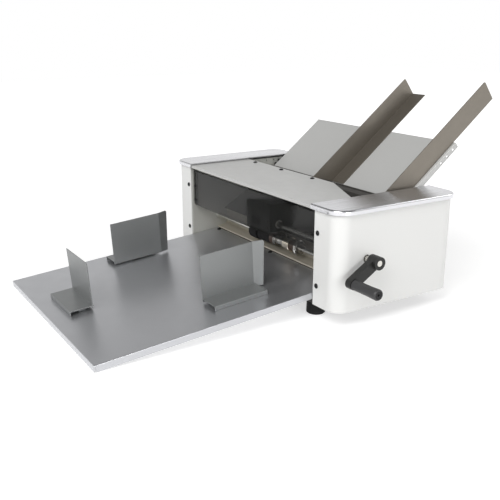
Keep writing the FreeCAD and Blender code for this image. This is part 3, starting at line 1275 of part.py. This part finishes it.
NODES = {
    "right_side_frame": lambda: [side_frame(RIGHT_BUSHES)],
    "left_side_frame": lambda: [mirrored(side_frame(LEFT_BUSHES))],
    "base_pan": lambda: [base_pan()],
    "feet": lambda: at_feet(foot),
    "right_housing": lambda: [right_housing_with_crank_hole()],
    "left_housing": lambda: [mirrored(right_housing())],
    "right_cap": lambda: [right_cap()],
    "left_cap": lambda: [mirrored(right_cap())],
    "housing_screws": housing_screws,
    "top_cover": lambda: [top_cover()],
    "cover_screws": cover_screws,
    "front_bar": lambda: [front_bar()],
    "cover_bar": lambda: [cover_bar()],
    "rear_panel": lambda: [rear_panel()],
    "feed_table": lambda: [feed_table()],
    "table_screws": lambda: [table_screw(side, s) for side in (-1, 1) for s in TABLE_SCREW_S],
    "feed_chute": lambda: [feed_chute()],
    "exit_plate": lambda: [exit_plate()],
    "tray_bar": lambda: [tray_bar()],
    "delivery_tray": lambda: [delivery_tray()],
    "tray_screws": tray_screws,
    "perf_head": lambda: [perf_head()],
    "head_screws": head_screws,
    "head_bushes": head_bushes,
    "right_bushes": lambda: bushes(RIGHT_BUSHES, FRAME_INNER_X, -1),
    "left_bushes": lambda: bushes(LEFT_BUSHES, -FRAME_INNER_X, 1),
    "feed_belt": lambda: [feed_belt()],
    "separator_arm": lambda: [separator_arm()],
    "separator_pad": lambda: [separator_pad()],
    "window_rod": lambda: [
        cyl_x(WINDOW_AXIS_Y, WINDOW_AXIS_Z, WINDOW_ROD_R, -FRAME_OUTER_X, FRAME_OUTER_X)
    ],
    "drive_shaft": lambda: [drive_shaft()],
    "crank_arm": lambda: [crank_arm()],
    "crank_set_screw": lambda: [crank_set_screw()],
    "grip_bolt": lambda: [grip_bolt()],
    "crank_gear": lambda: [crank_gear()],
    "perf_wheel": lambda: [perf_wheel()],
    "perf_hub": lambda: [perf_hub()],
    "pinch_tyre": lambda: [pinch_tyre()],
    "crank_grip": lambda: [crank_grip()],
    "anvil_shaft": lambda: [anvil_shaft()],
    "anvil_gear": lambda: [anvil_gear()],
    "drive_pulley": lambda: [pulley(ANVIL_Y, ANVIL_Z, LOWER_SHAFT_R, DRIVE_PULLEY_R)],
    "exit_tyres": exit_tyres,
    "tyre_sleeves": tyre_sleeves,
    "spacer_sleeves": spacer_sleeves,
    "anvil_wheel": lambda: [anvil_wheel()],
    "press_ring": lambda: [press_ring()],
    "score_disc": lambda: [score_disc()],
    "feed_shaft": lambda: [feed_shaft()],
    "feed_tyres": feed_tyres,
    "feed_pulley": lambda: [pulley(ROLLER_Y, ROLLER_Z, FEED_SHAFT_R, FEED_PULLEY_R)],
    "head_knob": lambda: [head_knob()],
    "window_pane": lambda: [window_pane()],
    "window_brackets": lambda: [window_bracket(), mirrored(window_bracket())],
    "window_screws": window_screws,
    "left_feed_guide": lambda: [feed_guide(FEED_GUIDE_LEFT_X, 1, LEFT_FEED_GUIDE_FOOT)],
    "right_feed_guide": lambda: [
        feed_guide(FEED_GUIDE_LEFT_X + FEED_GUIDE_SPACING, -1, RIGHT_FEED_GUIDE_FOOT)
    ],
    "left_delivery_guide": lambda: [at_left_guide(solid) for solid in side_guide()],
    "right_delivery_guide": lambda: [at_right_guide(solid) for solid in side_guide()],
    "end_stop": lambda: [at_end_stop(solid) for solid in stop_guide()],
}


def main():
    os.makedirs("parts", exist_ok=True)
    shift = base_shift()
    print("shift", round(shift.x, 4), round(shift.y, 4))
    for name, make in NODES.items():
        solids = [solid for piece in make() for solid in piece.Solids]
        placed = [solid.translated(shift) for solid in solids]
        shape = placed[0] if len(placed) == 1 else Part.makeCompound(placed)
        shape.exportStep("parts/" + name + ".step")


main()
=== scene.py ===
"""Looks of a table-top rotary perforator: finishes, camera, floor, backdrop and lamps.

Lengths are in metres and angles in degrees, apart from the camera's lens and sensor in millimetres.
"""

import json
import math

import bpy
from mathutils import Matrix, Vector


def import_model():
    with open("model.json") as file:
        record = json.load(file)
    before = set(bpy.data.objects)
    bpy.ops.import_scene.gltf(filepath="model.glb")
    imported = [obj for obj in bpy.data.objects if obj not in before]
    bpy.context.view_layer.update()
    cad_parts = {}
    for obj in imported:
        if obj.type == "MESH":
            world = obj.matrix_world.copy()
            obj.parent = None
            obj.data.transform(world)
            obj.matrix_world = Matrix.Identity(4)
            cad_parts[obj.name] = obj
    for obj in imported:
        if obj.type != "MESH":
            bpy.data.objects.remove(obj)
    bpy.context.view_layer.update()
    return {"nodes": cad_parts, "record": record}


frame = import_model()

WHITE = (1.0, 1.0, 1.0, 1.0)
UNIT = (0.0, 1.0)               # a mask's whole range
EVEN = (1.0, 1.0, 1.0)          # a texture stretched along no axis

# The camera was fitted in the source's drawing axes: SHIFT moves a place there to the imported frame
SHIFT = Vector((-0.04245, -0.0182284, 0.0))
CAMERA_PLACE = Vector((1.23349, -0.76389, 0.51830))
CAMERA_AZIMUTH = 57.81
CAMERA_ELEVATION = 17.15
LENS = 52.41
SENSOR_WIDTH = 36.0
CLIP_NEAR = 0.05
CLIP_FAR = 50.0

# Each lamp is a square: place, aim, side, power in watts
LAMPS = {
    "key": ((1.0, -2.0, 2.0), (0.0, -0.1, 0.1), 1.8, 62.0),
    "fill": ((2.8, 0.1, 0.7), (0.1, 0.0, 0.1), 1.2, 21.0),
    "back": ((0.6, 2.4, 1.8), (0.0, 0.0, 0.1), 1.4, 18.0),
}

# The floor turns white with the distance from the origin
FLOOR_SIDE = 12.0
FLOOR_Z = -0.0002
FLOOR_COLOUR = (0.62, 0.62, 0.62, 1.0)
FLOOR_REACH = (0.5, 2.2)        # distances at which the whitening starts and ends
FLOOR_LIFT = (0.60, 1.0)        # emission strength at those distances

# The world turns from backdrop to ceiling with the upward part of the ray's direction
CEILING_RISE = (0.32, 0.55)     # upward parts at which the turn starts and ends
CEILING_COLOUR = (0.22, 0.22, 0.22, 1.0)
WORLD_STRENGTH = (0.72, 1.0)    # for diffuse rays, and for the rays that see it directly

# What all finishes share
NOISE_ROUGHNESS = 0.55
SLOW_DETAIL = 4.0
FINE_DETAIL = 2.0
SMEAR_DETAIL = 5.0
SMEAR_PER_MOTTLE = 6.0          # the smear's scale against the mottle's
SPECK_NOISE = (0.35, 0.75)
SPECK_PER_MOTTLE = 2.0
SPECK_SHADE = 0.75
GLOSS_NOISE = (0.3, 0.7)
LEAST_ROUGH = 0.02
COAT_ROUGH = 0.12
BEVEL_SAMPLES = 4
# Sharp edges are painted lighter in patches: partly wear, partly a painted highlight that stands in
# for lit edges
WEAR_AND_HIGHLIGHT_RADIUS = 0.0009
WEAR_AND_HIGHLIGHT_FACING = (0.985, 0.80)     # rounded normal along the true one, on a face and at an edge
WEAR_AND_HIGHLIGHT_NOISE = (0.35, 0.65)
WEAR_AND_HIGHLIGHT_SHADE = 1.25

# The tinted window's own values
ACRYLIC_ALPHA = 0.50
ACRYLIC_IOR = 1.49
ACRYLIC_SPECULAR = 0.35
ACRYLIC_ROUGH = (0.05, 0.12)
HAZE_SCALE = 14.0
ACRYLIC_GRAIN_SCALE = 900.0
ACRYLIC_GRAIN = 0.05
ACRYLIC_GRAIN_DEPTH = 0.00003
ACRYLIC_EDGE = 0.0005


def srgb(red, green, blue):
    """A display colour of 0 to 255 as linear values."""
    out = []
    for value in (red, green, blue):
        part = value / 255.0
        out.append(part / 12.92 if part <= 0.04045 else ((part + 0.055) / 1.055) ** 2.4)
    return (out[0], out[1], out[2], 1.0)


ACRYLIC_DARK = srgb(26, 26, 25)
ACRYLIC_PALE = srgb(38, 38, 36)

FINISHES = {
    "housing_paint": dict(
        colour=srgb(232, 232, 230), rough=0.34, mottle=0.012, grain_scale=900.0, grain=0.18,
        wear_and_highlight=0.3, coat=0.15, edge=0.0006,
    ),
    "cover_paint": dict(
        colour=srgb(194, 194, 192), rough=0.42, mottle=0.02, grain_scale=1800.0, grain=0.25,
        wear_and_highlight=0.35, edge=0.0005,
    ),
    "cap_chrome": dict(
        colour=srgb(214, 214, 217), rough=0.24, metal=1.0, mottle=0.03, grain_scale=700.0,
        grain=0.05, rough_spread=0.05, stretch=(3.0, 0.08, 1.0), edge=0.0006,
    ),
    "tray_paint": dict(
        colour=srgb(198, 199, 202), rough=0.33, metal=0.85, mottle=0.02, mottle_scale=7.0,
        grain_scale=2600.0, grain=0.12, rough_spread=0.03, wear_and_highlight=0.4, edge=0.0005,
    ),
    "guide_paint": dict(
        colour=srgb(136, 138, 138), rough=0.38, metal=0.55, mottle=0.03, grain_scale=2600.0,
        grain=0.14, rough_spread=0.03, wear_and_highlight=0.5, edge=0.0005,
    ),
    "feed_guide_paint": dict(
        colour=srgb(130, 124, 115), rough=0.42, metal=0.68, mottle=0.05, mottle_scale=60.0,
        grain_scale=2600.0, grain=0.08, rough_spread=0.04, wear_and_highlight=0.4, edge=0.0005,
    ),
    "frame_steel": dict(
        colour=srgb(196, 196, 190), rough=0.42, metal=0.35, mottle=0.05, grain_scale=600.0,
        grain=0.2, stretch=(1.0, 1.0, 9.0),
    ),
    "dark_steel": dict(
        colour=srgb(58, 56, 53), rough=0.55, mottle=0.08, grain_scale=1300.0, grain=0.3, wear_and_highlight=0.4,
    ),
    "shaft_steel": dict(
        colour=srgb(214, 212, 206), rough=0.22, metal=1.0, mottle=0.04, grain_scale=900.0,
        grain=0.12, stretch=(7.0, 1.0, 1.0),
    ),
    "black_steel": dict(
        colour=srgb(30, 30, 31), rough=0.36, metal=0.2, mottle=0.08, grain_scale=1800.0,
        grain=0.2, wear_and_highlight=0.5, edge=0.0003, specular=0.35,
    ),
    "black_plastic": dict(
        colour=srgb(34, 34, 33), rough=0.46, mottle=0.07, grain_scale=1300.0, grain=0.45,
        grain_depth=0.00012, wear_and_highlight=0.4, specular=0.35,
    ),
    "grip_plastic": dict(
        colour=srgb(52, 52, 53), rough=0.48, mottle=0.07, grain_scale=1300.0, grain=0.45,
        grain_depth=0.00012, wear_and_highlight=0.4,
    ),
    "black_rubber": dict(
        colour=srgb(20, 20, 20), rough=0.72, mottle=0.10, grain_scale=1100.0, grain=0.5,
        grain_depth=0.0001, specular=0.3,
    ),
    "ring_steel": dict(
        colour=srgb(226, 216, 200), rough=0.26, metal=1.0, mottle=0.05, grain_scale=1000.0,
        grain=0.12,
    ),
    "brown_plastic": dict(
        colour=srgb(66, 48, 36), rough=0.42, mottle=0.10, grain_scale=1000.0, grain=0.3,
    ),
    "wheel_chrome": dict(
        colour=srgb(170, 168, 164), rough=0.16, metal=1.0, mottle=0.03, grain_scale=1000.0,
        grain=0.06,
    ),
    "pale_sheet": dict(
        colour=srgb(182, 176, 162), rough=0.36, metal=0.2, mottle=0.05, grain_scale=1400.0,
        grain=0.25, wear_and_highlight=0.4,
    ),
}


def cleared_tree(owner, output_type):
    """The owner's emptied node tree and the surface socket of its new output."""
    owner.use_nodes = True
    tree = owner.node_tree
    tree.nodes.clear()
    return tree, tree.nodes.new(output_type).inputs["Surface"]


def new_material(name):
    """A material with one principled shader, with its node tree and that shader."""
    material = bpy.data.materials.new(name)
    tree, surface = cleared_tree(material, "ShaderNodeOutputMaterial")
    shader = tree.nodes.new("ShaderNodeBsdfPrincipled")
    tree.links.new(shader.outputs["BSDF"], surface)
    return material, tree, shader


def object_coords(tree, scale=EVEN):
    coords = tree.nodes.new("ShaderNodeTexCoord")
    mapping = tree.nodes.new("ShaderNodeMapping")
    mapping.inputs["Scale"].default_value = scale
    tree.links.new(coords.outputs["Object"], mapping.inputs["Vector"])
    return mapping.outputs["Vector"]


def noise(tree, vector, scale, detail):
    node = tree.nodes.new("ShaderNodeTexNoise")
    node.inputs["Scale"].default_value = scale
    node.inputs["Detail"].default_value = detail
    node.inputs["Roughness"].default_value = NOISE_ROUGHNESS
    tree.links.new(vector, node.inputs["Vector"])
    return node.outputs["Fac"]


def remap(tree, value, source, target):
    """Turns the source range of a value into the target range, and holds it at their ends."""
    node = tree.nodes.new("ShaderNodeMapRange")
    node.inputs["From Min"].default_value, node.inputs["From Max"].default_value = source
    node.inputs["To Min"].default_value, node.inputs["To Max"].default_value = target
    tree.links.new(value, node.inputs["Value"])
    return node.outputs["Result"]


def combine(tree, operation, first, second):
    """One Math node on two linked values."""
    node = tree.nodes.new("ShaderNodeMath")
    node.operation = operation
    tree.links.new(first, node.inputs[0])
    tree.links.new(second, node.inputs[1])
    return node.outputs["Value"]


def mix_colour(tree, factor, low, high):
    """A blend of two colours, each one a tuple or a socket."""
    node = tree.nodes.new("ShaderNodeMix")
    node.data_type = "RGBA"
    for socket, value in ((node.inputs["A"], low), (node.inputs["B"], high)):
        if isinstance(value, tuple):
            socket.default_value = value
        else:
            tree.links.new(value, socket)
    tree.links.new(factor, node.inputs["Factor"])
    return node.outputs["Result"]


def scaled(colour, factor):
    return (colour[0] * factor, colour[1] * factor, colour[2] * factor, 1.0)


def rounded_normal(tree, radius):
    bevel = tree.nodes.new("ShaderNodeBevel")
    bevel.samples = BEVEL_SAMPLES
    bevel.inputs["Radius"].default_value = radius
    return bevel.outputs["Normal"]


def edge_mask(tree):
    """1 near sharp edges and 0 on open faces, from a rounded normal against the true one."""
    rounded = rounded_normal(tree, WEAR_AND_HIGHLIGHT_RADIUS)
    geometry = tree.nodes.new("ShaderNodeNewGeometry")
    dot = tree.nodes.new("ShaderNodeVectorMath")
    dot.operation = "DOT_PRODUCT"
    tree.links.new(rounded, dot.inputs[0])
    tree.links.new(geometry.outputs["Normal"], dot.inputs[1])
    return remap(tree, dot.outputs["Value"], WEAR_AND_HIGHLIGHT_FACING, UNIT)


def rounded_bump(tree, shader, height, strength, distance, edge):
    """Fine relief on a normal that rounds the sharp edges."""
    bump = tree.nodes.new("ShaderNodeBump")
    bump.inputs["Strength"].default_value = strength
    bump.inputs["Distance"].default_value = distance
    tree.links.new(height, bump.inputs["Height"])
    tree.links.new(rounded_normal(tree, edge), bump.inputs["Normal"])
    tree.links.new(bump.outputs["Normal"], shader.inputs["Normal"])


def finish(
    name, colour, rough, metal=0.0, specular=0.5, coat=0.0,
    mottle=0.04, mottle_scale=9.0, rough_spread=0.06, wear_and_highlight=0.0,
    grain_scale=1400.0, grain=0.25, grain_depth=0.00005, stretch=EVEN, edge=0.0004,
):
    """A surface with slow colour change, fine grain, uneven gloss and rounded edges, lightened in
    patches partly as wear and partly as a painted highlight.
    """
    material, tree, shader = new_material(name)
    still = object_coords(tree)
    drawn = object_coords(tree, stretch)
    slow = noise(tree, still, mottle_scale, SLOW_DETAIL)
    fine = noise(tree, drawn, grain_scale, FINE_DETAIL)
    smear = noise(tree, drawn, mottle_scale * SMEAR_PER_MOTTLE, SMEAR_DETAIL)
    base = mix_colour(tree, slow, scaled(colour, 1.0 - mottle), scaled(colour, 1.0 + mottle))
    speck = remap(tree, fine, SPECK_NOISE, (0.0, mottle * SPECK_PER_MOTTLE))
    base = mix_colour(tree, speck, base, scaled(colour, SPECK_SHADE))
    # painted lighter edges: partly wear, partly a painted highlight of the lit edges
    if wear_and_highlight:
        patches = remap(tree, smear, WEAR_AND_HIGHLIGHT_NOISE, (0.0, wear_and_highlight))
        worn_and_highlit = combine(tree, "MULTIPLY", edge_mask(tree), patches)
        base = mix_colour(tree, worn_and_highlit, base, scaled(colour, WEAR_AND_HIGHLIGHT_SHADE))
    tree.links.new(base, shader.inputs["Base Color"])
    roughness = (max(LEAST_ROUGH, rough - rough_spread), rough + rough_spread)
    tree.links.new(remap(tree, smear, GLOSS_NOISE, roughness), shader.inputs["Roughness"])
    shader.inputs["Metallic"].default_value = metal
    shader.inputs["Specular IOR Level"].default_value = specular
    if coat:
        shader.inputs["Coat Weight"].default_value = coat
        shader.inputs["Coat Roughness"].default_value = COAT_ROUGH
    rounded_bump(tree, shader, fine, grain, grain_depth, edge)
    return material


def smoked_acrylic(name):
    """A dark tinted clear sheet: each of its two faces holds back part of the light."""
    material, tree, shader = new_material(name)
    still = object_coords(tree)
    haze = noise(tree, still, HAZE_SCALE, SLOW_DETAIL)
    tint = mix_colour(tree, haze, ACRYLIC_DARK, ACRYLIC_PALE)
    tree.links.new(tint, shader.inputs["Base Color"])
    gloss = remap(tree, haze, GLOSS_NOISE, ACRYLIC_ROUGH)
    tree.links.new(gloss, shader.inputs["Roughness"])
    shader.inputs["Alpha"].default_value = ACRYLIC_ALPHA
    shader.inputs["IOR"].default_value = ACRYLIC_IOR
    shader.inputs["Specular IOR Level"].default_value = ACRYLIC_SPECULAR
    fine = noise(tree, still, ACRYLIC_GRAIN_SCALE, FINE_DETAIL)
    rounded_bump(tree, shader, fine, ACRYLIC_GRAIN, ACRYLIC_GRAIN_DEPTH, ACRYLIC_EDGE)
    return material


def dress_nodes():
    """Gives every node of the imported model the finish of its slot."""
    made = {slot: finish(slot + "_finish", **look) for slot, look in FINISHES.items()}
    made["smoked_acrylic"] = smoked_acrylic("smoked_acrylic_finish")
    for entry in frame["record"]["subparts"]:
        node = frame["nodes"][entry["node"]]
        node.data.materials.clear()
        node.data.materials.append(made[entry["material_slot"]])


def place_and_turn(made, place, forward):
    """Puts a camera or lamp at a place, looking forward with its top up."""
    bpy.context.collection.objects.link(made)
    made.location = place
    made.rotation_mode = "QUATERNION"
    made.rotation_quaternion = forward.to_track_quat("-Z", "Y")


def camera():
    data = bpy.data.cameras.new("camera")
    data.sensor_width = SENSOR_WIDTH
    data.lens = LENS
    data.clip_start = CLIP_NEAR
    data.clip_end = CLIP_FAR
    azimuth = math.radians(CAMERA_AZIMUTH)
    elevation = math.radians(CAMERA_ELEVATION)
    back = Vector((
        math.sin(azimuth) * math.cos(elevation),
        -math.cos(azimuth) * math.cos(elevation),
        math.sin(elevation),
    ))
    camera_object = bpy.data.objects.new("camera", data)
    place_and_turn(camera_object, CAMERA_PLACE + SHIFT, -back)
    bpy.context.scene.camera = camera_object


def seen_directly(tree):
    """1 for camera, glossy and transmission rays, 0 for the others."""
    path = tree.nodes.new("ShaderNodeLightPath")
    total = path.outputs["Is Camera Ray"]
    for ray in ("Is Glossy Ray", "Is Transmission Ray"):
        total = combine(tree, "MAXIMUM", total, path.outputs[ray])
    return total


def floor():
    """A pale plane that keeps the shadow near the object and reaches white further out."""
    bpy.ops.mesh.primitive_plane_add(size=FLOOR_SIDE, location=(0.0, 0.0, FLOOR_Z))
    plane = bpy.context.object
    plane.name = "floor"
    material = bpy.data.materials.new("floor_white")
    tree, surface = cleared_tree(material, "ShaderNodeOutputMaterial")
    diffuse = tree.nodes.new("ShaderNodeBsdfDiffuse")
    diffuse.inputs["Color"].default_value = FLOOR_COLOUR
    lift = tree.nodes.new("ShaderNodeEmission")
    lift.inputs["Color"].default_value = WHITE
    place = tree.nodes.new("ShaderNodeNewGeometry")
    reach = tree.nodes.new("ShaderNodeVectorMath")
    reach.operation = "LENGTH"
    tree.links.new(place.outputs["Position"], reach.inputs[0])
    whiteness = remap(tree, reach.outputs["Value"], FLOOR_REACH, FLOOR_LIFT)
    strength = combine(tree, "MULTIPLY", whiteness, seen_directly(tree))
    tree.links.new(strength, lift.inputs["Strength"])
    both = tree.nodes.new("ShaderNodeAddShader")
    tree.links.new(diffuse.outputs["BSDF"], both.inputs[0])
    tree.links.new(lift.outputs["Emission"], both.inputs[1])
    tree.links.new(both.outputs["Shader"], surface)
    plane.data.materials.append(material)


def world():
    """A white backdrop with a dimmer ceiling above it."""
    studio = bpy.data.worlds.new("studio")
    bpy.context.scene.world = studio
    tree, surface = cleared_tree(studio, "ShaderNodeOutputWorld")
    background = tree.nodes.new("ShaderNodeBackground")
    coords = tree.nodes.new("ShaderNodeTexCoord")
    split = tree.nodes.new("ShaderNodeSeparateXYZ")
    tree.links.new(coords.outputs["Generated"], split.inputs["Vector"])
    height = remap(tree, split.outputs["Z"], CEILING_RISE, UNIT)
    backdrop = mix_colour(tree, height, WHITE, CEILING_COLOUR)
    tree.links.new(backdrop, background.inputs["Color"])
    strength = remap(tree, seen_directly(tree), UNIT, WORLD_STRENGTH)
    tree.links.new(strength, background.inputs["Strength"])
    tree.links.new(background.outputs["Background"], surface)


def lamp(name, place, aim, side, power):
    data = bpy.data.lights.new(name, "AREA")
    data.shape = "SQUARE"
    data.size = side
    data.energy = power
    place_and_turn(bpy.data.objects.new(name, data), place, Vector(aim) - Vector(place))


camera()
world()
floor()
for lamp_name, lamp_values in LAMPS.items():
    lamp(lamp_name, *lamp_values)
dress_nodes()

bpy.context.scene.view_settings.view_transform = "Standard"
